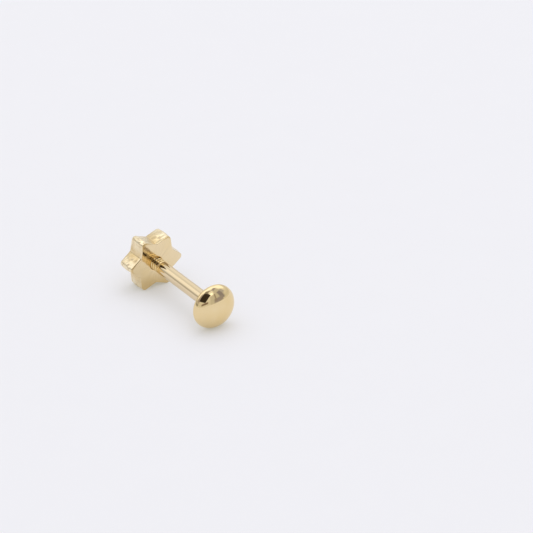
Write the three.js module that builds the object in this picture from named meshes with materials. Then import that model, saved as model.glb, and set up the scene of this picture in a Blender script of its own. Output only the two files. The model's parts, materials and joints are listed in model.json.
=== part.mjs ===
// Stud earring with a screw back, as a three.js scene of closed solids.
//
// The stud is one soldered piece: a flattened ball for a head, a round post behind it, and a
// threaded end. A thick six-petal flower nut, the screw back, sits on the thread and leaves
// room for the ear lobe between itself and the head. Unworn, the earring lies on the rim of its
// head and on two petals of the nut, so its axis dips a little towards the head.
//
// Units are millimetres and +Z is up. The post runs along Y with the head at -Y. The origin is
// the bottom centre of the whole earring's box, on the surface that it lies on.

import * as THREE from 'three';
import { LoftGeometry } from 'three/addons/geometries/LoftGeometry.js';

// ---- Driving dimensions, mm --------------------------------------------------------------

// The head: half an ellipsoid in front of its widest ring, and a flatter half behind it.
const HEAD_RADIUS = 1.51;
const HEAD_FRONT = 0.90;
const HEAD_REAR = 0.57;

// The post: a plain cylinder at the crest of its thread, with a bead of solder at the head.
const POST_RADIUS = 0.45;
const SOLDER_FILLET = 0.14;
const POST_END_CHAMFER = 0.10;
const POST_BEYOND_BACK = 0.35;

// The screw back: a thick flower with straight-sided petals, widest halfway through, where its
// outline has the sizes below. Its walls draw in by WALL_BULGE towards both faces. The edge of
// its front face is nearly sharp, and the edge of its back face is well rounded.
const PETALS = 6;
const PETAL_TIP_RADIUS = 2.015;
const NOTCH_RADIUS = 1.48;
const TIP_ROUNDING = 0.305;
const NOTCH_ROUNDING = 0.10;
const BACK_THICKNESS = 1.44;
const WALL_BULGE = 0.065;
const FRONT_EDGE_ROUNDING = 0.05;
const REAR_EDGE_ROUNDING = 0.22;
const BORE_RADIUS = 0.50;
const BORE_EDGE_ROUNDING = 0.08;

// From the widest ring of the head to the front face of the screw back.
const HEAD_TO_BACK = 6.44;

// How finely round surfaces are cut into flat faces.
const ROUND_SEGMENTS = 64;
const HEAD_STEPS = 14;
const FILLET_STEPS = 4;
const TIP_STEPS = 8;
const NOTCH_STEPS = 5;
const SHARP_EDGE_STEPS = 3;
const ROUND_EDGE_STEPS = 6;
const WALL_STEPS = 6;
const TILT_STEPS = 200;

const POLISHED_GOLD = { color: 0xd8b060, metalness: 1.0, roughness: 0.12 };
const WORN_GOLD = { color: 0xd2a958, metalness: 1.0, roughness: 0.2 };

// ---- The stud: head and post in one turned profile ---------------------------------------

// Points along a circular or elliptical arc about (cx, cy), both ends included.
function arcPoints(cx, cy, rx, ry, from, to, steps) {
  return Array.from({ length: steps + 1 }, (_, i) => {
    const angle = from + ((to - from) * i) / steps;
    return new THREE.Vector2(cx + rx * Math.cos(angle), cy + ry * Math.sin(angle));
  });
}

// The profile starts at the middle of the head's front, rounds its rim, runs down the solder
// fillet and along the post, and closes at the middle of the post's end. Its y is measured
// from the head's widest ring.
function studProfile() {
  const filletX = POST_RADIUS + SOLDER_FILLET;
  const filletAngle = Math.acos(filletX / HEAD_RADIUS);
  const filletY = HEAD_REAR * Math.sin(filletAngle);
  const postEnd = HEAD_TO_BACK + BACK_THICKNESS + POST_BEYOND_BACK;

  const front = arcPoints(0, 0, HEAD_RADIUS, HEAD_FRONT, -Math.PI / 2, 0, HEAD_STEPS);
  const rear = arcPoints(0, 0, HEAD_RADIUS, HEAD_REAR, 0, filletAngle, HEAD_STEPS);
  const fillet = arcPoints(
    filletX, filletY + SOLDER_FILLET, SOLDER_FILLET, SOLDER_FILLET,
    -Math.PI / 2, -Math.PI, FILLET_STEPS,
  );
  front[0].x = 0;
  return [
    ...front,
    ...rear.slice(1),
    ...fillet.slice(1),
    new THREE.Vector2(POST_RADIUS, postEnd - POST_END_CHAMFER),
    new THREE.Vector2(POST_RADIUS - POST_END_CHAMFER, postEnd),
    new THREE.Vector2(0, postEnd),
  ];
}

function makeStud() {
  const stud = new THREE.Mesh(
    new THREE.LatheGeometry(studProfile(), ROUND_SEGMENTS),
    new THREE.MeshStandardMaterial(POLISHED_GOLD),
  );
  stud.name = 'head_and_post';
  return stud;
}

// ---- The screw back: a flower outline, carried round the section of a ring ----------------

// The radius at which a petal's two straight sides would meet, if its tip weren't rounded.
// The side leaves the notch corner, and the rounded tip has to reach PETAL_TIP_RADIUS, so the
// sharp corner is found by halving the interval that holds it.
function sharpTipRadius() {
  const notch = new THREE.Vector2(NOTCH_RADIUS, 0)
    .rotateAround(new THREE.Vector2(), Math.PI / PETALS);
  let low = PETAL_TIP_RADIUS;
  let high = 2 * PETAL_TIP_RADIUS;
  while (high - low > 1e-9) {
    const middle = (low + high) / 2;
    const halfAngle = Math.atan2(notch.y, middle - notch.x);
    const reach = middle - TIP_ROUNDING / Math.sin(halfAngle) + TIP_ROUNDING;
    if (reach < PETAL_TIP_RADIUS) low = middle;
    else high = middle;
  }
  return low;
}

// The corner at `corner` between the sides to `before` and `after`, rounded by an arc.
function roundedCorner(before, corner, after, radius, steps) {
  const toBefore = before.clone().sub(corner).normalize();
  const toAfter = after.clone().sub(corner).normalize();
  const halfAngle = Math.acos(toBefore.dot(toAfter)) / 2;
  const bisector = toBefore.clone().add(toAfter).normalize();
  const centre = corner.clone().addScaledVector(bisector, radius / Math.sin(halfAngle));
  const setback = radius / Math.tan(halfAngle);
  const start = corner.clone().addScaledVector(toBefore, setback).sub(centre).angle();
  const end = corner.clone().addScaledVector(toAfter, setback).sub(centre).angle();
  const turn = THREE.MathUtils.euclideanModulo(end - start + Math.PI, 2 * Math.PI) - Math.PI;
  return arcPoints(centre.x, centre.y, radius, radius, start, start + turn, steps);
}

// The flower, with one petal tip on +X: sharp tips and notches in turn, each rounded.
function flowerOutline() {
  const tip = sharpTipRadius();
  const origin = new THREE.Vector2();
  const corners = Array.from({ length: 2 * PETALS }, (_, i) =>
    new THREE.Vector2(i % 2 ? NOTCH_RADIUS : tip, 0).rotateAround(origin, (i * Math.PI) / PETALS));
  return corners.flatMap((corner, i) => {
    const before = corners[(i + corners.length - 1) % corners.length];
    const after = corners[(i + 1) % corners.length];
    return i % 2
      ? roundedCorner(before, corner, after, NOTCH_ROUNDING, NOTCH_STEPS)
      : roundedCorner(before, corner, after, TIP_ROUNDING, TIP_STEPS);
  });
}

// The outward unit normal of the outline at each of its points. An arc's end points share
// their arc's own normals with the straight sides that touch it.
function outlineNormals(outline) {
  return outline.map((point, i) => {
    const before = outline[(i + outline.length - 1) % outline.length];
    const after = outline[(i + 1) % outline.length];
    const back = point.clone().sub(before).normalize();
    const ahead = after.clone().sub(point).normalize();
    const along = back.add(ahead).normalize();
    return new THREE.Vector2(along.y, -along.x);
  });
}

// How far the wall is drawn in from its widest outline, at `depth` behind the front face.
function wallInset(depth) {
  return WALL_BULGE * (1 - Math.sin((Math.PI * depth) / BACK_THICKNESS));
}

// A ring of the flower at `depth` behind the front face, drawn in from its wall by `inset`.
function flowerRing(outline, normals, inset, depth) {
  const drawnIn = inset + wallInset(depth);
  return outline.map((point, i) => {
    const moved = point.clone().addScaledVector(normals[i], -drawnIn);
    return new THREE.Vector3(moved.x, depth, moved.y);
  });
}

// A ring of the bore, with as many points as the outline and its first point towards the
// outline's first.
function boreRing(outline, radius, depth) {
  const start = outline[0].angle();
  return outline.map((_, i) => {
    const angle = start + (2 * Math.PI * i) / outline.length;
    return new THREE.Vector3(radius * Math.cos(angle), depth, radius * Math.sin(angle));
  });
}

// A rounded edge in steps: `aside` is what is left of the way to the wall, and `drop` is the
// way from the face.
function quarter(radius, steps) {
  return Array.from({ length: steps + 1 }, (_, i) => {
    const angle = (Math.PI / 2) * (i / steps);
    return { aside: radius * (1 - Math.sin(angle)), drop: radius * (1 - Math.cos(angle)) };
  });
}

// The rings go in across the front face, back through the bore, out across the rear face and
// forward along the petals' walls to where they began.
function makeScrewBack() {
  const outline = flowerOutline();
  const normals = outlineNormals(outline);
  const far = BACK_THICKNESS;
  const mouth = quarter(BORE_EDGE_ROUNDING, SHARP_EDGE_STEPS);
  const rearEdge = quarter(REAR_EDGE_ROUNDING, ROUND_EDGE_STEPS);
  const frontEdge = quarter(FRONT_EDGE_ROUNDING, SHARP_EDGE_STEPS).toReversed();
  const wall = Array.from({ length: WALL_STEPS - 1 }, (_, i) =>
    THREE.MathUtils.lerp(far - REAR_EDGE_ROUNDING, FRONT_EDGE_ROUNDING, (i + 1) / WALL_STEPS));
  const rings = [
    ...mouth.map(({ aside, drop }) => boreRing(outline, BORE_RADIUS + aside, drop)),
    ...mouth.toReversed().map(({ aside, drop }) =>
      boreRing(outline, BORE_RADIUS + aside, far - drop)),
    ...rearEdge.map(({ aside, drop }) => flowerRing(outline, normals, aside, far - drop)),
    ...wall.map((depth) => flowerRing(outline, normals, 0, depth)),
    ...frontEdge.map(({ aside, drop }) => flowerRing(outline, normals, aside, drop)),
  ];
  const back = new THREE.Mesh(
    new LoftGeometry([...rings, rings[0]]),
    new THREE.MeshStandardMaterial(WORN_GOLD),
  );
  back.name = 'flower_screw_back';
  back.position.y = HEAD_TO_BACK;
  return back;
}

// ---- Resting pose -------------------------------------------------------------------------

// The axis dips towards the head until the head's rim and the two lower petals are level. At
// each depth along the petals, with their drop D there and the distance L from the head's
// ring, D cos t - L sin t = HEAD_RADIUS gives an angle t. The largest one is where the petals
// touch first.
function restingTilt() {
  const halfPetal = Math.PI / PETALS;
  const widest = (PETAL_TIP_RADIUS - TIP_ROUNDING) * Math.cos(halfPetal) + TIP_ROUNDING;
  const tilts = Array.from({ length: TILT_STEPS }, (_, i) => {
    const depth = (BACK_THICKNESS * i) / TILT_STEPS;
    const drop = widest - wallInset(depth);
    const along = HEAD_TO_BACK + depth;
    return Math.acos(HEAD_RADIUS / Math.hypot(drop, along)) - Math.atan2(along, drop);
  });
  return Math.max(...tilts);
}

const earring = new THREE.Group();
earring.add(makeStud(), makeScrewBack());
earring.rotation.x = restingTilt();

// Stand the turned earring on its surface, with its box centred over the origin.
const box = new THREE.Box3().setFromObject(earring, true);
const middle = box.getCenter(new THREE.Vector3());
earring.position.set(-middle.x, -middle.y, -box.min.z);

export default earring;
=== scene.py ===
# %% [markdown]
# # A stud earring with a flower screw back
#
# The earring is two pieces of yellow gold. The stud is a flattened ball soldered to a round
# post with a threaded end. The screw back is a thick six-petal flower nut that turns on that
# thread and holds the ear lobe against the head. Unworn, the earring lies on the rim of its
# head and on two petals of the nut.
#
# The solids that carry the sizes, the mass and the motion come from the frame. This lesson
# puts a finely made surface in the place of each one, gives it a gold finish, and sets it on a
# pale floor in soft light.

# %% Load the frame
import json
import math

import bpy
import numpy as np
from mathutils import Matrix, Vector


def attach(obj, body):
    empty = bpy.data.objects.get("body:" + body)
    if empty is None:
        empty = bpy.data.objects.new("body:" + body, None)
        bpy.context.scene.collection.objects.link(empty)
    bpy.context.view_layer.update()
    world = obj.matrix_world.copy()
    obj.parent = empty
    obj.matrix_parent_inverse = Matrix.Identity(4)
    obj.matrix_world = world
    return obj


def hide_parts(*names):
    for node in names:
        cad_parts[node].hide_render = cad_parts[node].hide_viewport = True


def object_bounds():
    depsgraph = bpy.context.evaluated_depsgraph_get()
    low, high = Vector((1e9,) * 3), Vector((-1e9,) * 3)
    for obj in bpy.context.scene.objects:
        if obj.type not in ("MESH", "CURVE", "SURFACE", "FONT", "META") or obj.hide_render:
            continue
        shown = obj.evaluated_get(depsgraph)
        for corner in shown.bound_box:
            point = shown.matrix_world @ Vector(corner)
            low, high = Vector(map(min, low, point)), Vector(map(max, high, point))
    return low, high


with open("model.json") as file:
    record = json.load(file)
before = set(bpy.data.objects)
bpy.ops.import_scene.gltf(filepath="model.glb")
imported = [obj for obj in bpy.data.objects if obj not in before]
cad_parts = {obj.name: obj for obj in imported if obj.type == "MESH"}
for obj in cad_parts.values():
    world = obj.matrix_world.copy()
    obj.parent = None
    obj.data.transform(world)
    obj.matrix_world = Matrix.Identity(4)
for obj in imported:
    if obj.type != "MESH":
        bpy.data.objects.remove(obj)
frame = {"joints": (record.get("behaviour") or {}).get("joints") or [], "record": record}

cad_low, cad_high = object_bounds()
print("solids' box, mm:", [round(1000 * side, 2) for side in cad_high - cad_low])

# %% [markdown]
# ## Sizes
#
# A jeweller measures an earring in tenths of a millimetre, and Blender works in metres, so the
# sizes are written in millimetres and multiplied by `MM`. The first two groups are the sizes
# of the solids, whose post and bore are plain. The third group is the thread and the mouths of
# the bore, which are new, and so are the marks of wear further down. On the outside they only
# ever cut into the metal, so the new surfaces keep inside the solids' box.

# %% Sizes of the earring
MM = 0.001

HEAD_RADIUS = 1.51 * MM
HEAD_FRONT = 0.90 * MM
HEAD_REAR = 0.57 * MM
POST_RADIUS = 0.45 * MM
SOLDER_FILLET = 0.14 * MM
POST_END_CHAMFER = 0.10 * MM
POST_BEYOND_BACK = 0.35 * MM
HEAD_TO_BACK = 6.44 * MM

PETALS = 6
PETAL_TIP_RADIUS = 2.015 * MM
NOTCH_RADIUS = 1.48 * MM
TIP_ROUNDING = 0.305 * MM
NOTCH_ROUNDING = 0.10 * MM
BACK_THICKNESS = 1.44 * MM
WALL_BULGE = 0.065 * MM
FRONT_EDGE_ROUNDING = 0.05 * MM
REAR_EDGE_ROUNDING = 0.22 * MM

THREAD_PITCH = 0.225 * MM
THREAD_DEPTH = 0.048 * MM
THREAD_BEFORE_BACK = 0.85 * MM
NUT_THREAD_DEPTH = 0.048 * MM
THREAD_CLEARANCE = 0.012 * MM
MOUTH_RADIUS = 0.56 * MM
MOUTH_DEPTH = 0.035 * MM

print("gap for the ear lobe:", round((HEAD_TO_BACK - HEAD_REAR) / MM, 2), "mm")

# %% [markdown]
# ## The earring's own directions
#
# Both pieces are shapes about one axis, the post's. It is easiest to work them out in the
# earring's own directions: *across* it level with the floor, *along* the post towards the
# screw back, and *up* from it. The slide joint in the frame says where *along* points. The
# frame's mount is a point of the nut's front face, one millimetre up from the post's axis, and
# it gives the place of everything else. So nothing here is placed by eye.

# %% Directions, and the point that the shapes are measured from
along = Vector(frame["joints"][0]["axis"]).normalized()
across = Vector((1.0, 0.0, 0.0))
upward = across.cross(along)
DIRECTIONS = np.array([across, along, upward])

MOUNT_ABOVE_AXIS = 1.0 * MM
mount = Vector(frame["record"]["mounts"][0]["pos_m"])
face_centre = mount - upward * MOUNT_ABOVE_AXIS
head_centre = face_centre - along * HEAD_TO_BACK
tilt = math.asin(along.z)
print("the axis rises by", round(math.degrees(tilt), 2), "degrees towards the screw back")


def placed(points):
    """Points (across, along, up) measured from the middle of the head, as points of the
    frame: the middle of the head plus each number times its direction."""
    return np.array(head_centre) + points @ DIRECTIONS


# %% [markdown]
# ## From a grid of numbers to a mesh
#
# Every surface here is a grid: one number walks along a profile, the other goes round the
# axis. Blender could spin a profile with a modifier, but a grid that numpy works out in one go
# can also carry a thread, a dent or a soft wave, which a plain spin can't. The helper joins
# each point to its neighbours and closes the way round. The ends close either on a single
# point each, as on a ball, or on each other, as on a ring.

# %% A mesh from a grid
def grid_mesh(name, rows, poles=None):
    """Quads between neighbours of rows[i, j], with j going round. With poles, a pair of
    points, the first and last rows close on them as fans; without, the rows close in a ring."""
    count, around = rows.shape[:2]
    index = np.arange(count * around).reshape(count, around)
    here = index if poles is None else index[:-1]
    there = np.roll(index, -1, axis=0) if poles is None else index[1:]
    quads = np.stack([here, there, np.roll(there, -1, 1), np.roll(here, -1, 1)], axis=-1)
    faces = quads.reshape(-1, 4).tolist()
    points = rows.reshape(-1, 3)
    if poles is not None:
        start, end = np.full(around, len(points)), np.full(around, len(points) + 1)
        points = np.vstack([points, poles])
        faces += np.stack([start, index[0], np.roll(index[0], -1)], axis=-1).tolist()
        faces += np.stack([end, np.roll(index[-1], -1), index[-1]], axis=-1).tolist()
    mesh = bpy.data.meshes.new(name)
    mesh.from_pydata(points.tolist(), [], faces)
    mesh.polygons.foreach_set("use_smooth", np.ones(len(mesh.polygons), dtype=bool))
    mesh.update()
    piece = bpy.data.objects.new(name, mesh)
    bpy.context.scene.collection.objects.link(piece)
    return piece


def store(piece, name, values):
    """Keeps one number for each point of the grid, and 0 at the poles, for the material."""
    attribute = piece.data.attributes.new(name, "FLOAT", "POINT")
    spare = np.zeros(len(piece.data.vertices) - values.size)
    attribute.data.foreach_set("value", np.concatenate([values.ravel(), spare]))


def volume_of(piece):
    """The volume that a closed mesh holds, in cubic millimetres: a sixth of the sum, over its
    triangles, of the first corner times the cross product of the other two. It comes out
    positive only when the faces point outwards."""
    mesh = piece.data
    mesh.calc_loop_triangles()
    corners = np.empty(len(mesh.loop_triangles) * 3, dtype=np.int32)
    mesh.loop_triangles.foreach_get("vertices", corners)
    points = np.empty(len(mesh.vertices) * 3)
    mesh.vertices.foreach_get("co", points)
    first, second, third = points.reshape(-1, 3)[corners.reshape(-1, 3)].transpose(1, 0, 2)
    return float((first * np.cross(second, third)).sum() / 6 / MM**3)


# %% [markdown]
# ## Pressing into a surface
#
# Dents, waves and grooves are all the same act: the surface is pressed inwards by some depth
# at each point. Inwards is against the grid's own normal, which is the cross product of a step
# along the profile and a step round the axis. Because a press is never negative, the result
# can't grow past the solid it stands for.

# %% Pressing
def outward_normals(rows, ring):
    """Unit normals of a grid: the cross product of the difference between the rows on either
    side and the difference between the columns on either side. A ring wraps both ways."""
    if ring:
        step = np.roll(rows, -1, axis=0) - np.roll(rows, 1, axis=0)
    else:
        step = np.gradient(rows, axis=0)
    round_step = np.roll(rows, -1, axis=1) - np.roll(rows, 1, axis=1)
    normal = np.cross(step, round_step)
    return normal / np.linalg.norm(normal, axis=-1, keepdims=True)


def pressed(rows, depth, ring=False):
    """The grid with each point moved against its normal by its own depth."""
    return rows - outward_normals(rows, ring) * depth[..., None]


# %% [markdown]
# ## Hand polishing
#
# Gold this small is finished against a felt wheel by hand, and no two spots are pressed alike.
# The surface ends a few thousandths of a millimetre off the true shape, in waves about a
# millimetre long. The eye can't see the waves themselves, but it sees the reflections bend. A
# bump in the material would bend them too, but would leave the mesh perfect, so the waves go
# into the points: a sum of sine waves, each with its own direction, length and phase.

# %% Waves left by the polishing wheel
FEWEST_WAVES, MOST_WAVES = 0.6, 1.6


def polishing(points, depth, length, seed, waves=16):
    """Depths between 0 and the given depth: the sum of sine waves that run in random
    directions, shifted and scaled to that range. The given length holds at least the fewest
    and at most the most waves of each."""
    random = np.random.default_rng(seed)
    run = random.normal(size=(waves, 3))
    run *= 2 * np.pi / length / np.linalg.norm(run, axis=1, keepdims=True)
    run *= random.uniform(FEWEST_WAVES, MOST_WAVES, size=(waves, 1))
    phase = random.uniform(0, 2 * np.pi, size=waves)
    height = np.sin(points @ run.T + phase).sum(axis=-1)
    return depth * (height - height.min()) / (height.max() - height.min())


def soft_step(value, start, length):
    """0 before start, 1 a length after it, with a smooth S between."""
    share = np.clip((value - start) / length, 0, 1)
    return share * share * (3 - 2 * share)


# %% [markdown]
# ## The stud: its profile
#
# A real head is stamped or cast and polished, and the post is drawn wire soldered to its back.
# Seen from the side they make one outline: the head, domed in front of its widest ring and
# flatter behind it, a small fillet where the solder ran, the straight wire, and a chamfer that
# helps the nut find the thread. The outline is a chain of arcs and straight lines, each with
# its own number of points, so the points are close only where the shape turns or where the
# thread is cut.

# %% The stud's outline
def arc(centre, radii, start, end, count):
    """Points (along, out) of an ellipse's arc: the centre less the first radius times the
    cosine, and plus the second times the sine, of an angle from start to end."""
    angle = np.linspace(start, end, count)
    return np.stack([centre[0] - radii[0] * np.cos(angle),
                     centre[1] + radii[1] * np.sin(angle)], axis=1)


def line(start, end, count):
    """Points (along, out) evenly spaced from start to end."""
    share = np.linspace(0, 1, count)[:, None]
    return np.array(start) * (1 - share) + np.array(end) * share


NEAR_AXIS = 0.02 * MM
FIRST_RING_ANGLE = 0.01
fillet_out = POST_RADIUS + SOLDER_FILLET
fillet_angle = math.pi - math.asin(fillet_out / HEAD_RADIUS)
post_start = SOLDER_FILLET - HEAD_REAR * math.cos(fillet_angle)
post_end = HEAD_TO_BACK + BACK_THICKNESS + POST_BEYOND_BACK
thread_start = HEAD_TO_BACK - THREAD_BEFORE_BACK
chamfer_start = post_end - POST_END_CHAMFER
chamfer_out = POST_RADIUS - POST_END_CHAMFER

outline = np.vstack([
    arc((0, 0), (HEAD_FRONT, HEAD_RADIUS), FIRST_RING_ANGLE, math.pi / 2, 72),
    arc((0, 0), (HEAD_REAR, HEAD_RADIUS), math.pi / 2, fillet_angle, 60)[1:],
    arc((post_start, fillet_out), (SOLDER_FILLET, -SOLDER_FILLET), 0, math.pi / 2, 12)[1:],
    line((post_start, POST_RADIUS), (thread_start, POST_RADIUS), 24)[1:],
    line((thread_start, POST_RADIUS), (chamfer_start, POST_RADIUS), 190)[1:],
    line((chamfer_start, POST_RADIUS), (post_end, chamfer_out), 9)[1:],
    line((post_end, chamfer_out), (post_end, NEAR_AXIS), 7)[1:],
])
print("the stud's outline has", len(outline), "points over",
      round((post_end + HEAD_FRONT) / MM, 2), "mm")

# %% [markdown]
# ## The stud: its thread
#
# A thread is a groove that goes round the wire and moves on by one pitch a turn. On a grid it
# takes two lines: the depth at a point depends only on how many pitches it is along, less the
# share of a turn that it is round. A whole number is a crest, and halfway between two of them
# is the bottom of the groove, with nearly flat flanks between. The groove fades in over its
# first turn and a half, where the cutting die was backed off.

# %% The stud's grid, with its thread cut
CREST_WIDTH, FLANK_WIDTH = 0.06, 0.88
THREAD_FADE_TURNS = 1.5


def groove(along_axis, turn):
    """How deep the thread is, from 0 on a crest to 1 in the groove. The pitches travelled less
    the turns made give a place in the pitch, its distance from the nearest crest gives a
    zigzag, and an S curve of the zigzag takes the points off the crest and the root. The
    widths of crest and flank are shares of half a pitch."""
    place = (along_axis / THREAD_PITCH - turn) % 1
    return soft_step(np.abs((place + 0.5) % 1 - 0.5) * 2, CREST_WIDTH, FLANK_WIDTH)


STUD_AROUND = 192
angle = np.arange(STUD_AROUND) * 2 * np.pi / STUD_AROUND
along_axis, out = outline[:, :1], outline[:, 1:]
stud_grid = np.stack(np.broadcast_arrays(out * np.cos(angle), along_axis, out * np.sin(angle)),
                     axis=-1)

threaded = soft_step(along_axis, thread_start, THREAD_FADE_TURNS * THREAD_PITCH)
threaded = threaded * (1 - soft_step(along_axis, chamfer_start, POST_END_CHAMFER))
stud_groove = threaded * groove(along_axis, 0.25 - angle / (2 * np.pi))
radial = stud_grid * (1, 0, 1)
stud_grid = stud_grid - radial * (THREAD_DEPTH * stud_groove / POST_RADIUS)[..., None]
print("turns of thread on the post:", round((post_end - thread_start) / THREAD_PITCH, 1))

# %% [markdown]
# The waves of the polishing wheel are only on the head. They fade out at the solder, because
# drawn wire is as straight as its die. Wire for posts is often a slightly paler and duller
# alloy than the head that it is soldered to, so a number called *wire* is stored for the
# material, 1 on the smooth part of the post and 0 elsewhere.

# %% The finished stud
HEAD_WAVE_DEPTH, HEAD_WAVE_LENGTH = 0.004 * MM, 1.6 * MM
HEAD_FADE = 0.35 * MM
PLAIN_BEFORE_THREAD, WIRE_FADE = 0.4 * MM, 0.5 * MM

on_head = 1 - soft_step(along_axis, HEAD_FADE, HEAD_FADE)
waves = polishing(stud_grid, HEAD_WAVE_DEPTH, HEAD_WAVE_LENGTH, seed=4) * on_head
stud_grid = pressed(stud_grid, waves)
stud_poles = np.array([(0, stud_grid[0, 0, 1], 0), (0, post_end, 0)])
stud = grid_mesh("stud", placed(stud_grid), placed(stud_poles))
# the thread's groove is stored so that the gold is darker at its bottom
store(stud, "groove_darkening_and_painted_shade", stud_groove)
before_thread = 1 - soft_step(along_axis, thread_start - PLAIN_BEFORE_THREAD, WIRE_FADE)
store(stud, "wire", np.broadcast_to((1 - on_head) * before_thread, stud_grid.shape[:2]))
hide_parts("head_and_post")
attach(stud, "stud")
print("stud:", len(stud.data.polygons), "faces,", round(volume_of(stud), 2), "cubic mm")

# %% [markdown]
# ## The screw back: its flower
#
# The nut is a slice of gold with six straight-sided petals, so that finger and thumb can turn
# it. Its outline is a star whose tips and notches are rounded. One formula rounds every corner
# at once: the centre of the rounding lies on the line that halves the corner, and its distance
# from the corner is the rounding's radius over the sine of half the corner's angle.
#
# The sharp star behind it isn't a given size. Its tips must be just so far out that the
# rounded petals reach the size of the nut, and halving an interval forty times finds that.

# %% The star's corners, rounded
def sharp_tip_radius():
    """How far out a petal's straight sides would meet, found by halving: the radius whose
    rounded tip, at the sharp one less the rounding over the sine plus the rounding, reaches
    the petal's size."""
    notch_along = NOTCH_RADIUS * math.cos(math.pi / PETALS)
    notch_aside = NOTCH_RADIUS * math.sin(math.pi / PETALS)
    low, high = PETAL_TIP_RADIUS, 2 * PETAL_TIP_RADIUS
    for _ in range(40):
        middle = (low + high) / 2
        half_angle = math.atan2(notch_aside, middle - notch_along)
        reach = middle - TIP_ROUNDING / math.sin(half_angle) + TIP_ROUNDING
        low, high = (middle, high) if reach < PETAL_TIP_RADIUS else (low, middle)
    return low


def rounded_star(count):
    """The closed outline, anticlockwise from the tip at angle 0: at each corner an arc of
    count points about its centre, and the straight sides are left between the arcs."""
    is_notch = np.arange(2 * PETALS) % 2 == 1
    angle = np.arange(2 * PETALS) * np.pi / PETALS
    reach = np.where(is_notch, NOTCH_RADIUS, sharp_tip_radius())
    radius = np.where(is_notch, NOTCH_ROUNDING, TIP_ROUNDING)
    corner = reach[:, None] * np.stack([np.cos(angle), np.sin(angle)], axis=1)
    before = np.roll(corner, 1, axis=0) - corner
    after = np.roll(corner, -1, axis=0) - corner
    before /= np.linalg.norm(before, axis=1, keepdims=True)
    after /= np.linalg.norm(after, axis=1, keepdims=True)
    half_angle = np.arccos((before * after).sum(axis=1)) / 2
    halving = (before + after) / (2 * np.cos(half_angle))[:, None]
    centre = corner + halving * (radius / np.sin(half_angle))[:, None]
    facing = np.arctan2(-halving[:, 1], -halving[:, 0])
    sweep = np.where(is_notch, -1, 1) * (np.pi / 2 - half_angle)
    spoke = facing[:, None] + sweep[:, None] * np.linspace(-1, 1, count)
    spokes = np.stack([np.cos(spoke), np.sin(spoke)], axis=-1)
    return (centre[:, None] + radius[:, None, None] * spokes).reshape(-1, 2)


# %% The flower, with its points evenly spaced
def evenly_spaced(chain, count):
    """The same closed chain with its points an equal walk apart: each coordinate is
    interpolated over the distance walked."""
    closed = np.vstack([chain, chain[:1]])
    walked = np.append(0, np.cumsum(np.linalg.norm(np.diff(closed, axis=0), axis=1)))
    stops = np.arange(count) * walked[-1] / count
    return np.stack([np.interp(stops, walked, closed[:, k]) for k in (0, 1)], axis=1)


BACK_AROUND = 492

flower = evenly_spaced(rounded_star(count=96), BACK_AROUND)
tangent = np.roll(flower, -1, axis=0) - np.roll(flower, 1, axis=0)
tangent /= np.linalg.norm(tangent, axis=1, keepdims=True)
flower_normal = np.stack([tangent[:, 1], -tangent[:, 0]], axis=1)
flower_spoke = flower / np.linalg.norm(flower, axis=1, keepdims=True)
flower_angle = np.arctan2(flower[:, 1], flower[:, 0])
print("flower:", round(2 * np.hypot(*flower.T).max() / MM, 2), "mm across its petals,",
      round(2 * np.hypot(*flower.T).min() / MM, 2), "mm across its notches")

# %% [markdown]
# ## The screw back: one closed skin
#
# The nut is a ring. Its skin goes over the outer wall, round the rear edge, in across the rear
# face, forward through the bore, and out again across the front face. Walking that loop at
# every point of the flower gives a grid that closes both ways, with no poles and no seams. The
# loop is a chain of stretches, and each of its points has four numbers: how far it is along
# the axis from the front face, how far the flower is drawn in there, how far it has gone from
# the bore to the flower as a share, and the bore's radius.

# %% The loop round the nut's section
def stretch(count, depth, drawn_in, share, hole):
    """Points (depth, drawn in, share, hole) of one stretch, without its last point, which
    begins the next stretch. A pair of numbers runs evenly from the first to the second, one
    number stays the same, and an array is taken as it is."""
    runs = [np.linspace(*pair, count + 1)[:-1] if isinstance(pair, tuple) else
            np.full(count, float(pair)) if np.isscalar(pair) else pair[:-1]
            for pair in (depth, drawn_in, share, hole)]
    return np.stack(runs, axis=1)


def wall_inset(depth):
    """How far the wall is drawn in from its widest outline, which is halfway through the nut:
    the bulge times one less the sine of half a turn over the thickness."""
    return WALL_BULGE * (1 - np.sin(np.pi * depth / BACK_THICKNESS))


def rounding(radius, count):
    """A quarter circle in so many steps, as what is left of the way to one side and what is
    gone of the way to the other: the radius less its sine, and the radius less its cosine."""
    quarter = np.linspace(0, np.pi / 2, count + 1)
    return radius * (1 - np.sin(quarter)), radius * (1 - np.cos(quarter))


REAR_STEPS, FRONT_STEPS, MOUTH_STEPS = 12, 7, 9
far = BACK_THICKNESS
rear_left, rear_gone = rounding(REAR_EDGE_ROUNDING, REAR_STEPS)
front_left, front_gone = rounding(FRONT_EDGE_ROUNDING, FRONT_STEPS)
crest = POST_RADIUS + THREAD_CLEARANCE
mouth_left, mouth_gone = rounding(1.0, MOUTH_STEPS)
mouth_left, mouth_gone = (MOUTH_RADIUS - crest) * mouth_left, MOUTH_DEPTH * mouth_gone
section = np.vstack([
    stretch(30, (FRONT_EDGE_ROUNDING, far - REAR_EDGE_ROUNDING), 0, 1, crest),
    stretch(REAR_STEPS, far - rear_left, rear_gone, 1, crest),
    stretch(24, far, REAR_EDGE_ROUNDING, (1, 0), MOUTH_RADIUS),
    stretch(MOUTH_STEPS, far - mouth_gone, 0, 0, crest + mouth_left),
    stretch(72, (far - MOUTH_DEPTH, MOUTH_DEPTH), 0, 0, crest),
    stretch(MOUTH_STEPS, mouth_gone[::-1], 0, 0, crest + mouth_left[::-1]),
    stretch(28, 0.0, FRONT_EDGE_ROUNDING, (0, 1), MOUTH_RADIUS),
    stretch(FRONT_STEPS, front_gone, front_left, 1, crest),
])
depth, drawn_in, share, hole = section.T[..., None]
drawn_in = drawn_in + wall_inset(depth)
print("the nut's section has", len(section), "points")

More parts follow.
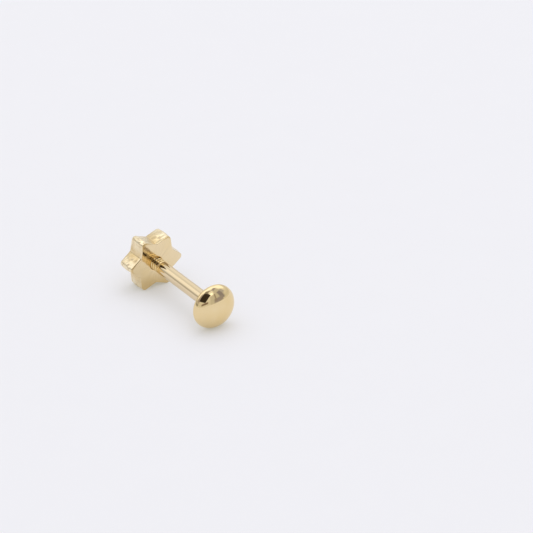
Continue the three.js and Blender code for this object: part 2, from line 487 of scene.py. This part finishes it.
# %% [markdown]
# Where a stretch crosses a face, its points go straight from the round bore to the flower, so
# the quads stay even. Inside the bore the thread is the post's turned inside out: there is
# metal where the post has its groove. It stays clear of the post's crests all the way, because
# here the nut slides along the thread, and doesn't turn with it. At both ends the bore opens
# into a small rounded mouth, and the groove fades out just before it, so that no groove cuts
# the mouth's rim.

# %% The nut's grid, with its thread cut
THREAD_FADE = 0.08 * MM
back_turn = 0.25 - flower_angle / (2 * np.pi)
from_ends = np.minimum(depth, far - depth)
in_bore = (share == 0) * soft_step(from_ends, MOUTH_DEPTH, THREAD_FADE)
nut_groove = 1 - groove(HEAD_TO_BACK + depth, back_turn)
hole = hole + in_bore * NUT_THREAD_DEPTH * nut_groove

flat = share[..., None] * (flower - drawn_in[..., None] * flower_normal)
flat = flat + ((1 - share) * hole)[..., None] * flower_spoke
back_grid = np.stack(np.broadcast_arrays(flat[..., 0], HEAD_TO_BACK + depth, flat[..., 1]), axis=-1)
print("the nut's grid is", back_grid.shape[0], "by", back_grid.shape[1])

# %% [markdown]
# ## The screw back: marks of making and wear
#
# A nut this small is cut from a pressed flower rod and tumbled smooth. Its walls stay uneven,
# like hammered foil, because the rod was drawn through a die and never polished. A screw back
# that is gripped every day also gathers dents on its petals. Each dent is a round hollow
# pressed in at a place on the outer wall: so far round the flower, and so far from the front
# face. The front face was rubbed flat on a stone and only waves a little.

# %% Dents and uneven walls
DENTS = [
    # degrees round the flower, mm from the front face, mm wide, mm deep
    (74, 0.50, 0.13, 0.022),
    (82, 0.85, 0.09, 0.014),
    (66, 0.95, 0.10, 0.012),
    (163, 0.45, 0.12, 0.014),
    (168, 0.80, 0.11, 0.012),
    (174, 0.40, 0.11, 0.010),
    (110, 0.60, 0.10, 0.012),
    (-65, 0.70, 0.12, 0.016),
    (-8, 0.60, 0.12, 0.014),
]
WALL_WAVES = [
    # mm deep, mm long, seed
    (0.029, 0.42, 31),
    (0.006, 0.20, 32),
]
FACE_WAVE_DEPTH, FACE_WAVE_LENGTH = 0.003 * MM, 1.1 * MM
WALL_FADE = 0.2 * MM
FACE_FADE_SHARE = 0.5


def dent(angle_deg, from_face, width, depth_mm):
    """Depths of one hollow on the outer wall: its depth times a bell curve of the distance
    from its centre."""
    middle = int(np.abs(flower_angle - math.radians(angle_deg)).argmin())
    place = np.array([flower[middle, 0], HEAD_TO_BACK + from_face * MM, flower[middle, 1]])
    distance = np.linalg.norm(back_grid - place, axis=-1)
    return depth_mm * MM * np.exp(-((distance / (width * MM)) ** 2))


on_wall = share * soft_step(depth, 0, WALL_FADE)
marks = sum(dent(*row) for row in DENTS)
unevenness = sum(polishing(back_grid, deep * MM, long * MM, seed)
                 for deep, long, seed in WALL_WAVES)
unevenness = unevenness * (share == 1) * on_wall
face_waves = polishing(back_grid, FACE_WAVE_DEPTH, FACE_WAVE_LENGTH, seed=13)
face_waves = face_waves * soft_step(share, 0, FACE_FADE_SHARE)
back_grid = pressed(back_grid, marks * on_wall + unevenness + face_waves, ring=True)
back = grid_mesh("screw_back", placed(back_grid))
print("the deepest dent is", max(row[3] for row in DENTS), "mm, in a wall that waves by",
      round(float(unevenness.max() / MM), 3), "mm")

# %% [markdown]
# The gold isn't the same tint and gloss everywhere either, and the mesh is the best place to keep
# that, because it knows where its notches and grooves are. Three numbers are stored at each point.
# The first darkens the tint. It is darker gold at the bottom of the thread, and painted shade in
# the rest: in the notches between the petals, low on the front face and darker towards its
# bottom, and as a dark line along the rim of the petals on one side, for a dark reflection there.
# *Wall* is the outer wall, which is rougher, and a little of it carries over on to the rear
# face. *Face* is the front face near the bore, where the drill's burr was scraped away in lines.

# %% Where the nut's gold is darker, in painted shade, or rough
# the side where the painted dark line on the front rim is strongest, how it fades round, and how
# wide it is
RIM_SHADE_DIRECTION = math.radians(125)
RIM_SHADE_FADE_FROM, RIM_SHADE_FADE = -0.2, 0.9
RIM_SHADE_WIDTH = 0.04 * MM
SCRAPED_WIDTH = 1.1 * MM
# where the painted shade low on the front face starts, and how far up it fades
LOW_FACE_SHADE_FROM, LOW_FACE_SHADE_FADE = 0.2 * MM, 1.5 * MM
# how strong the painted shade is in the notches, and low on the front face
NOTCH_SHADE_STRENGTH, LOW_FACE_SHADE_STRENGTH = 0.85, 0.9
REAR_SMOOTHER = 0.6

in_notch = 1 - soft_step(np.hypot(*flower.T), NOTCH_RADIUS, PETAL_TIP_RADIUS - NOTCH_RADIUS)
# a painted dark line along the front rim of the petals, strongest towards one side, standing in for
# a dark reflection and shade on that edge
towards_rim_shade = soft_step(np.cos(flower_angle - RIM_SHADE_DIRECTION), RIM_SHADE_FADE_FROM, RIM_SHADE_FADE)
rim_shade = 1 - soft_step(depth + (1 - share) * NOTCH_RADIUS, RIM_SHADE_WIDTH, 2 * RIM_SHADE_WIDTH)
rim_shade = rim_shade * (1 - in_notch) * towards_rim_shade
on_rear = soft_step(depth, far - REAR_EDGE_ROUNDING, REAR_EDGE_ROUNDING)
on_face = np.broadcast_to(depth < FRONT_EDGE_ROUNDING, back_grid.shape[:2])
near_bore = 1 - soft_step(np.linalg.norm(flat, axis=-1), MOUTH_RADIUS, SCRAPED_WIDTH)
# painted shade: the front face gets darker towards its bottom, standing in for the shadowed floor
# that it reflects
low_face_shade = 1 - soft_step(placed(back_grid)[..., 2], LOW_FACE_SHADE_FROM, LOW_FACE_SHADE_FADE)
# darker gold at the bottom of the thread, and painted shade on the walls in the notches between the
# petals
groove_darkening_and_painted_shade = np.maximum(in_bore * nut_groove, NOTCH_SHADE_STRENGTH * on_wall * in_notch)
rough_wall = on_wall * (1 - REAR_SMOOTHER * on_rear)
# darker gold in the thread's groove, plus painted shade in the notches, low on the front face and
# as a dark line on the rim
store(back, "groove_darkening_and_painted_shade", groove_darkening_and_painted_shade + LOW_FACE_SHADE_STRENGTH * on_face * low_face_shade + rim_shade)
store(back, "wall", np.broadcast_to(rough_wall, back_grid.shape[:2]))
store(back, "face", on_face * near_bore)
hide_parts("flower_screw_back")
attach(back, "screw_back")
print("screw back:", len(back.data.polygons), "faces,", round(volume_of(back), 2), "cubic mm")

# %% [markdown]
# ## Polished gold
#
# Gold of this colour is about 14 carat: pale, because more than a third of it is silver and
# copper. A metal has no colour of its own under the surface. It only tints what it reflects,
# so its base colour is the tint, and everything else in its look is what stands round it.
#
# Three small things keep it from looking like a computer's gold. The tint drifts a little,
# because an alloy is never quite even. The gloss drifts too, where the wheel lingered or a
# finger touched. And fine hairlines run through it. All three are noise on the piece's own
# Object coordinates, with sizes in millimetres.
#
# The nut has a finish of its own on top. Tumbling left its walls in patches, some frosted and
# pale and some like satin and darker, so two more noises lay those tints where *wall* is
# stored. Fine lines run out from the bore across its front face. They come from a noise that
# reads only the direction away from the post's axis, so it is the same all the way out. And
# one more stored number darkens the tint: at the bottom of the thread, and as painted shade in
# the nut's notches, low on its front face and along one side of its rim. A surface that stores
# no number of some name reads 0 for it. The stud has no *wall* or *face*, and the nut has no
# *wire*, so one function serves both pieces.

# %% [markdown]
# A material is a network of nodes, and in code each node takes four or five lines: make it,
# set its numbers, and link its inputs. The helpers below each make one kind of node, or one
# small group, and hand back its output. The network then reads as a chain of plain steps, and
# the floor and the sky further down use the same helpers.

# %% Helpers that join and calculate
def link(tree, output, socket):
    """Joins one node's output to another node's socket."""
    tree.links.new(output, socket)


def arithmetic(tree, operation, *values):
    """A Math node on numbers or other nodes' outputs."""
    node = tree.nodes.new("ShaderNodeMath")
    node.operation = operation
    for value, socket in zip(values, node.inputs):
        if isinstance(value, (int, float)):
            socket.default_value = value
        else:
            link(tree, value, socket)
    return node.outputs["Value"]


def vector_step(tree, operation, vector, fixed=None):
    """A Vector Math node on another node's output and, where it needs one, a fixed vector."""
    node = tree.nodes.new("ShaderNodeVectorMath")
    node.operation = operation
    link(tree, vector, node.inputs[0])
    if fixed is not None:
        node.inputs[1].default_value = fixed
    return node.outputs["Value" if operation == "DOT_PRODUCT" else "Vector"]


# %% Helpers for noise and for tints
def noise(tree, vector, per_mm, detail, stretch_to=(1, 1, 1), turn_x=0.0):
    """A noise texture with so many features per millimetre, stretched by a Mapping node."""
    mapping = tree.nodes.new("ShaderNodeMapping")
    mapping.inputs["Rotation"].default_value = (turn_x, 0, 0)
    mapping.inputs["Scale"].default_value = [side * per_mm / MM for side in stretch_to]
    texture = tree.nodes.new("ShaderNodeTexNoise")
    texture.inputs["Scale"].default_value = 1.0
    texture.inputs["Detail"].default_value = detail
    link(tree, vector, mapping.inputs["Vector"])
    link(tree, mapping.outputs["Vector"], texture.inputs["Vector"])
    return texture.outputs["Fac"]


def remap(tree, value, low, high, to_low, to_high):
    """Carries a value from one range to another, held at its ends."""
    node = tree.nodes.new("ShaderNodeMapRange")
    ranges = {"From Min": low, "From Max": high, "To Min": to_low, "To Max": to_high}
    for name, number in ranges.items():
        node.inputs[name].default_value = number
    link(tree, value, node.inputs["Value"])
    return node.outputs["Result"]


def blend_colours(tree, share, first, second):
    """The first colour where share is 0, and the second where it is 1. Each may be a colour
    or another node's output."""
    node = tree.nodes.new("ShaderNodeMix")
    node.data_type = "RGBA"
    link(tree, share, node.inputs["Factor"])
    for colour, socket in ((first, node.inputs[6]), (second, node.inputs[7])):
        if isinstance(colour, tuple):
            socket.default_value = (*colour, 1.0)
        else:
            link(tree, colour, socket)
    return node.outputs[2]


# %% Helpers for bumps, lines and stored numbers
def pressed_in(tree, height, depth_um, below=None):
    """A Bump node that reads height as so many thousandths of a millimetre."""
    node = tree.nodes.new("ShaderNodeBump")
    node.inputs["Distance"].default_value = depth_um * MM / 1000
    link(tree, height, node.inputs["Height"])
    if below is not None:
        link(tree, below, node.inputs["Normal"])
    return node.outputs["Normal"]


def spokes(tree, place, centre, scale):
    """Noise that changes only with the direction from the post's axis: the place less a point
    of the axis, its part across the post kept and brought to length 1, and that read by a
    noise texture. It makes radial lines on a face, and lines along the post on a wall."""
    away = vector_step(tree, "SUBTRACT", place, centre)
    across_part = vector_step(tree, "MULTIPLY", away, (1, 0, 1))
    texture = tree.nodes.new("ShaderNodeTexNoise")
    texture.inputs["Scale"].default_value = scale
    texture.inputs["Detail"].default_value = 3.0
    link(tree, vector_step(tree, "NORMALIZE", across_part), texture.inputs["Vector"])
    return texture.outputs["Fac"]


def stored(tree, name):
    """A stored number of the surface. On a surface that stores none of this name it is 0."""
    node = tree.nodes.new("ShaderNodeAttribute")
    node.attribute_name = name
    return node.outputs["Fac"]


# %% The gold itself
GOLD = (0.87, 0.70, 0.41)
GOLD_WARM = (0.85, 0.66, 0.35)
GOLD_PALE = (0.88, 0.725, 0.47)
# the darker gold at the bottom of the thread, which is also the colour of the painted shade on the
# nut
GOLD_DARKENED_AND_SHADED = (0.63, 0.42, 0.13)
GOLD_SATIN = (0.70, 0.55, 0.34)
GOLD_FROSTED = (0.94, 0.82, 0.58)
GOLD_WIRE = (0.81, 0.66, 0.43)

# Each pair is where a noise, or the stored darkening and painted shade, starts to show and where it
# is full.
DRIFTS_PER_MM, DRIFT_NOISE = 0.7, (0.35, 0.65)
SPOKES, SPOKE_NOISE, SPOKE_STRENGTH = 8.0, (0.48, 0.68), 0.45
WALL_PATCHES = [
    # patches per mm, noise where they start and are full, share there, tint
    (2.6, 0.35, 0.60, 0.4, 1.0, GOLD_FROSTED),
    (3.6, 0.46, 0.66, 0.0, 0.65, GOLD_SATIN),
]
# how far the stored darkening and painted shade turn the tint towards the darker gold
DARKENING_AND_SHADE_RANGE, DARKENING_AND_SHADE_STRENGTH = (0.3, 1.0), 0.6
SMUDGES_PER_MM, SMUDGE_NOISE = 1.8, (0.35, 0.7)
WALL_ROUGHER = 0.11
HAIRLINES_PER_MM, HAIRLINE_STRETCH = 22, (1, 0.04, 1)
GRAINS_PER_MM = 9


def gold(name, tints, gloss, hairline_um, grain_um, spoke_um=0.0):
    """A gold whose tint and roughness drift between two values each, with hairlines along
    the post's direction and a fine grain, each so many thousandths of a millimetre deep.
    With spoke_um, lines run out from the bore and back along the walls as well."""
    material = bpy.data.materials.new(name)
    material.use_nodes = True
    tree = material.node_tree
    shader = tree.nodes["Principled BSDF"]
    shader.inputs["Metallic"].default_value = 1.0
    place = tree.nodes.new("ShaderNodeTexCoord").outputs["Object"]
    wall = stored(tree, "wall")

    drift = remap(tree, noise(tree, place, DRIFTS_PER_MM, 2), *DRIFT_NOISE, 0, 1)
    tint = blend_colours(tree, drift, *tints)
    drawn = spokes(tree, place, face_centre, SPOKES)
    lines = remap(tree, drawn, *SPOKE_NOISE, 0, SPOKE_STRENGTH)
    tint = blend_colours(tree, arithmetic(tree, "MULTIPLY", stored(tree, "face"), lines),
                         tint, GOLD_SATIN)
    for per_mm, start, full, least, most, patch_tint in WALL_PATCHES:
        patches = remap(tree, noise(tree, place, per_mm, 2), start, full, least, most)
        tint = blend_colours(tree, arithmetic(tree, "MULTIPLY", wall, patches), tint, patch_tint)
    tint = blend_colours(tree, stored(tree, "wire"), tint, GOLD_WIRE)
    # darker gold at the bottom of the thread, and painted shade in the notches, low on the nut's
    # front face and along one side of its rim
    darkening_and_shade = remap(tree, stored(tree, "groove_darkening_and_painted_shade"), *DARKENING_AND_SHADE_RANGE, 0, DARKENING_AND_SHADE_STRENGTH)
    tint = blend_colours(tree, darkening_and_shade, tint, GOLD_DARKENED_AND_SHADED)
    link(tree, tint, shader.inputs["Base Color"])

    smudges = remap(tree, noise(tree, place, SMUDGES_PER_MM, 4), *SMUDGE_NOISE, *gloss)
    roughness = arithmetic(tree, "MULTIPLY_ADD", wall, WALL_ROUGHER, smudges)
    link(tree, roughness, shader.inputs["Roughness"])

    hairlines = noise(tree, place, HAIRLINES_PER_MM, 2, HAIRLINE_STRETCH, turn_x=-tilt)
    normal = pressed_in(tree, hairlines, hairline_um)
    normal = pressed_in(tree, noise(tree, place, GRAINS_PER_MM, 3), grain_um, below=normal)
    if spoke_um:
        normal = pressed_in(tree, drawn, spoke_um, below=normal)
    link(tree, normal, shader.inputs["Normal"])
    return material


stud.data.materials.append(gold("stud_gold", (GOLD, GOLD_WARM), gloss=(0.05, 0.11),
                                hairline_um=0.10, grain_um=0.25))
back.data.materials.append(gold("screw_back_gold", (GOLD_PALE, GOLD), gloss=(0.08, 0.13),
                                hairline_um=0.10, grain_um=1.0, spoke_um=5.0))
print("golds:", stud.data.materials[0].name, "and", back.data.materials[0].name)

# %% [markdown]
# ## The floor
#
# The earring lies on a sheet of milky acrylic, as is used under jewellery in a studio. The
# sheet is matt. A little light comes up through it from below, so it glows faintly, the shadows
# on it are soft and never black, and the gold's underside isn't lost. It is far bigger than the
# earring, so that its edge never shows in the gold.

# %% A pale floor
FLOOR_SIZE = 3.0
FLOOR_TINTS = (0.600, 0.590, 0.668), (0.610, 0.600, 0.678)
FLOOR_CLOUDS_PER_MM = 0.4
FLOOR_ROUGHNESS, FLOOR_SHINE = 0.9, 0.2
FLOOR_GLOW, FLOOR_GLOW_TINT = 0.25, (1.0, 1.03, 0.88)


def pale_floor():
    """A flat square sheet at the height that the earring rests on."""
    half = FLOOR_SIZE / 2
    mesh = bpy.data.meshes.new("floor")
    mesh.from_pydata([(-half, -half, 0), (half, -half, 0), (half, half, 0), (-half, half, 0)],
                     [], [(0, 1, 2, 3)])
    sheet = bpy.data.objects.new("floor", mesh)
    bpy.context.scene.collection.objects.link(sheet)
    material = bpy.data.materials.new("milky_acrylic")
    material.use_nodes = True
    tree = material.node_tree
    shader = tree.nodes["Principled BSDF"]
    shader.inputs["Roughness"].default_value = FLOOR_ROUGHNESS
    shader.inputs["Specular IOR Level"].default_value = FLOOR_SHINE
    shader.inputs["Emission Color"].default_value = (*FLOOR_GLOW_TINT, 1.0)
    shader.inputs["Emission Strength"].default_value = FLOOR_GLOW
    place = tree.nodes.new("ShaderNodeTexCoord").outputs["Object"]
    clouds = noise(tree, place, FLOOR_CLOUDS_PER_MM, 3)
    link(tree, blend_colours(tree, clouds, *FLOOR_TINTS), shader.inputs["Base Color"])
    sheet.data.materials.append(material)


pale_floor()
print("floor:", FLOOR_SIZE, "m square")

# %% [markdown]
# ## The room in the gold
#
# Polished gold is a mirror, so lighting it means choosing what it sees. In a studio, jewellery
# stands in a white tent. The gold then shows the tent's bright walls and the white card below,
# and the one dark thing is the opening for the camera. That dark patch is what makes the head
# look round and polished: with nothing dark to reflect, it would look like plastic.
#
# The tent is painted on the sky. Each panel is a rectangle seen from the earring, at an
# azimuth and an elevation, so wide and so high, and it covers what was painted before it.
# Azimuth 0 is behind the screw back, 90 to the earring's right, and 180 before its head.

# %% A sky to paint on
sky = bpy.data.worlds.new("tent")
sky.use_nodes = True
bpy.context.scene.world = sky
tent = sky.node_tree
tent.nodes.clear()
looking = tent.nodes.new("ShaderNodeTexCoord").outputs["Generated"]


def direction_to(azimuth, elevation):
    """The unit vector to an azimuth, from +Y towards +X, and an elevation, both in degrees."""
    turn_z, turn_up = math.radians(azimuth), math.radians(elevation)
    return Vector((math.sin(turn_z) * math.cos(turn_up), math.cos(turn_z) * math.cos(turn_up),
                   math.sin(turn_up)))


def part_along(direction):
    """How far the looking direction goes along another one: their dot product."""
    return vector_step(tent, "DOT_PRODUCT", looking, direction)


# %% Painting one panel
NEARLY_ZERO = 0.001


def within(value, half_size, softness):
    """1 where the value's size is less than half_size, 0 beyond it, with a soft edge."""
    node = tent.nodes.new("ShaderNodeMapRange")
    node.interpolation_type = "SMOOTHSTEP"
    node.inputs["From Min"].default_value = half_size - softness
    node.inputs["From Max"].default_value = half_size + softness
    node.inputs["To Min"].default_value = 1.0
    node.inputs["To Max"].default_value = 0.0
    link(tent, arithmetic(tent, "ABSOLUTE", value), node.inputs["Value"])
    return node.outputs["Result"]


def panel(under, azimuth, elevation, wide, high, colour, softness, roll):
    """Paints one panel over what is under it. A looking direction meets the panel's plane at
    its parts along the panel's right and up over its part along the panel's middle, and it is
    on the panel when both are less than the tangents of half the panel's angles."""
    middle = direction_to(azimuth, elevation)
    level = direction_to(azimuth + 90, 0)
    standing = level.cross(middle)
    turn = math.radians(roll)
    right = level * math.cos(turn) + standing * math.sin(turn)
    top = standing * math.cos(turn) - level * math.sin(turn)
    half_wide, half_high, half_soft = (math.tan(math.radians(angle / 2))
                                       for angle in (wide, high, softness))
    facing = part_along(middle)
    reach = arithmetic(tent, "MAXIMUM", facing, NEARLY_ZERO)
    aside = within(arithmetic(tent, "DIVIDE", part_along(right), reach), half_wide, half_soft)
    above = within(arithmetic(tent, "DIVIDE", part_along(top), reach), half_high, half_soft)
    in_front = arithmetic(tent, "GREATER_THAN", facing, 0.0)
    cover = arithmetic(tent, "MULTIPLY", arithmetic(tent, "MULTIPLY", aside, above), in_front)
    return blend_colours(tent, cover, under, colour)


def white(strength, warmth=0.0):
    """A near-white of a given strength, with more red and less blue as warmth rises."""
    return (strength * (1 + warmth), strength, strength * (1 - warmth))


# %% The tent and what stands before it
# The rises are sines of elevations, where the tent's upper part and its foot begin and end.
TENT_LOW, TENT_HIGH, TENT_FOOT = 0.64, 0.94, 0.78
UPPER_RISE, FOOT_RISE = (0.0, 0.7), (0.04, 0.12)

PANELS = [
    # azimuth, elevation, wide, high, colour, softness and roll, with the angles in degrees

    # the bright back of the tent, its folds, and the bright cloth on the right
    (0, 58, 96, 50, white(1.14), 18, 0),
    (4, 68, 110, 24, white(1.40), 12, 0),
    (32, 36, 28, 34, white(1.00), 8, 0),
    (72, 42, 34, 30, white(1.34), 12, 0),
    (-26, 40, 18, 18, white(1.14), 6, 0),
    (4, 44, 20, 24, white(0.86), 6, 0),
    (-44, 12, 24, 12, white(0.50), 6, 0),

    # the grey opening on the right, with its frame
    (165, 20, 44, 40, white(0.62), 8, 0),
    (138, 42, 36, 70, white(0.62), 12, 0),
    (128, 74, 40, 14, (0.38, 0.36, 0.44), 8, 0),
    (120, 34, 24, 22, (0.50, 0.50, 0.58), 8, 0),
    (137, 25, 19, 38, (0.31, 0.30, 0.38), 7, 0),
    (154, 9, 34, 16, (0.36, 0.34, 0.40), 6, 0),
    (165, 26, 5, 36, (0.36, 0.32, 0.30), 3, 0),

    # the dark behind the camera, fading upwards and to the left, and the cloth before the head
    (-120, 70, 50, 34, white(0.26, 0.1), 16, 0),
    (-76, 37, 34, 42, (0.40, 0.36, 0.38), 16, 0),
    (-178, 60, 22, 34, white(0.96), 8, 0),
    (-177, 51, 15, 15, white(1.60), 5, 0),
    (-124, 45, 60, 44, white(0.03, 0.3), 5, 14),
    (-143, 11, 38, 9, (0.24, 0.18, 0.15), 5, -6),
    (-72, 8, 34, 9, white(0.34), 5, 0),
]

rise = part_along((0, 0, 1))
upper = remap(tent, rise, *UPPER_RISE, 0, 1)
foot = remap(tent, rise, *FOOT_RISE, 1, 0)
seen = blend_colours(tent, upper, white(TENT_LOW), white(TENT_HIGH))
seen = blend_colours(tent, foot, seen, white(TENT_FOOT))
for row in PANELS:
    seen = panel(seen, *row)
print("panels in the tent:", len(PANELS))

# %% [markdown]
# ## What each kind of ray sees
#
# One sky has to do three jobs here, and they pull against each other. The gold needs strong
# panels with dark gaps, but the same gaps would throw wide, uneven shadows on the floor. So the
# Light Path node tells the rays apart. Rays that bounce off polished gold see the painted tent.
# The floor is lit by plain cloth that is brighter towards the top, which keeps its shadows
# close under the pieces. And the camera, past the floor's edge, sees plain pale paper.

# %% The tent for the gold, cloth for the floor, and paper for the camera
CLOTH_LOW, CLOTH_HIGH = 0.20, 1.30
PAPER = (0.888, 0.880, 0.930)

rays = tent.nodes.new("ShaderNodeLightPath")


def background(colour):
    """A background of one colour, or of another node's output."""
    node = tent.nodes.new("ShaderNodeBackground")
    if isinstance(colour, tuple):
        node.inputs["Color"].default_value = (*colour, 1.0)
    else:
        link(tent, colour, node.inputs["Color"])
    return node.outputs["Background"]


def either(kind_of_ray, others, these):
    """One shader for rays of this kind, and another for all the others."""
    node = tent.nodes.new("ShaderNodeMixShader")
    link(tent, rays.outputs[kind_of_ray], node.inputs["Fac"])
    link(tent, others, node.inputs[1])
    link(tent, these, node.inputs[2])
    return node.outputs["Shader"]


above_floor = remap(tent, rise, 0, 1, 0, 1)
cloth = blend_colours(tent, above_floor, white(CLOTH_LOW), white(CLOTH_HIGH))
chosen = either("Is Glossy Ray", background(cloth), background(seen))
chosen = either("Is Camera Ray", chosen, background(PAPER))
surface = tent.nodes.new("ShaderNodeOutputWorld")
link(tent, chosen, surface.inputs["Surface"])
print("the tent has", len(tent.nodes), "nodes")

# %% [markdown]
# ## A lamp behind the tent
#
# One large lamp shines through the cloth from the right and the back. It is wider than it is
# far away, so the shadow that it pulls to the left of each piece is very soft. Neither the
# camera nor the gold sees it, because the painted tent already holds the bright cloth that it
# would stand behind.

# %% The lamp
LAMP_AZIMUTH, LAMP_ELEVATION = 60, 60
LAMP_DISTANCE = 0.5
LAMP_SIZE = 0.60
LAMP_POWER = 0.40

lamp_data = bpy.data.lights.new("lamp", "AREA")
lamp_data.shape = "DISK"
lamp_data.size = LAMP_SIZE
lamp_data.energy = LAMP_POWER
lamp = bpy.data.objects.new("lamp", lamp_data)
to_lamp = direction_to(LAMP_AZIMUTH, LAMP_ELEVATION)
lamp.location = to_lamp * LAMP_DISTANCE
lamp.rotation_euler = to_lamp.to_track_quat("Z", "Y").to_euler()
lamp.visible_camera = False
lamp.visible_glossy = False
bpy.context.scene.collection.objects.link(lamp)
print("lamp:", LAMP_POWER, "W,", LAMP_SIZE, "m wide, at", LAMP_DISTANCE, "m")

# %% [markdown]
# ## The camera
#
# The camera stands well back and has a long lens, so that the far end of the post isn't much
# smaller than the head. It looks down by not quite thirty degrees from the head's side, and the
# earring sits to the left of the picture's middle. Its azimuth is counted as the panels' is.

# %% The camera
CAMERA_AZIMUTH, CAMERA_ELEVATION = -144.64, 28.24
CAMERA_DISTANCE = 0.250
VIEW_WIDTH = 34.25 * MM
SENSOR_WIDTH = 36.0
AIM_RIGHT, AIM_UP = 5.51 * MM, 0.85 * MM
CLIP_NEAR, CLIP_FAR = 0.01, 5.0

to_camera = direction_to(CAMERA_AZIMUTH, CAMERA_ELEVATION)
picture_right = Vector((0.0, 0.0, 1.0)).cross(to_camera).normalized()
picture_up = to_camera.cross(picture_right)

camera_data = bpy.data.cameras.new("camera")
camera_data.sensor_width = SENSOR_WIDTH
camera_data.lens = SENSOR_WIDTH * CAMERA_DISTANCE / VIEW_WIDTH
camera_data.clip_start, camera_data.clip_end = CLIP_NEAR, CLIP_FAR
camera = bpy.data.objects.new("camera", camera_data)
aim = (cad_low + cad_high) / 2 + picture_right * AIM_RIGHT + picture_up * AIM_UP
camera.location = aim + to_camera * CAMERA_DISTANCE
camera.rotation_euler = to_camera.to_track_quat("Z", "Y").to_euler()
bpy.context.scene.collection.objects.link(camera)
bpy.context.scene.camera = camera
bpy.context.scene.view_settings.view_transform = "Standard"
print("lens:", round(camera_data.lens, 1), "mm")
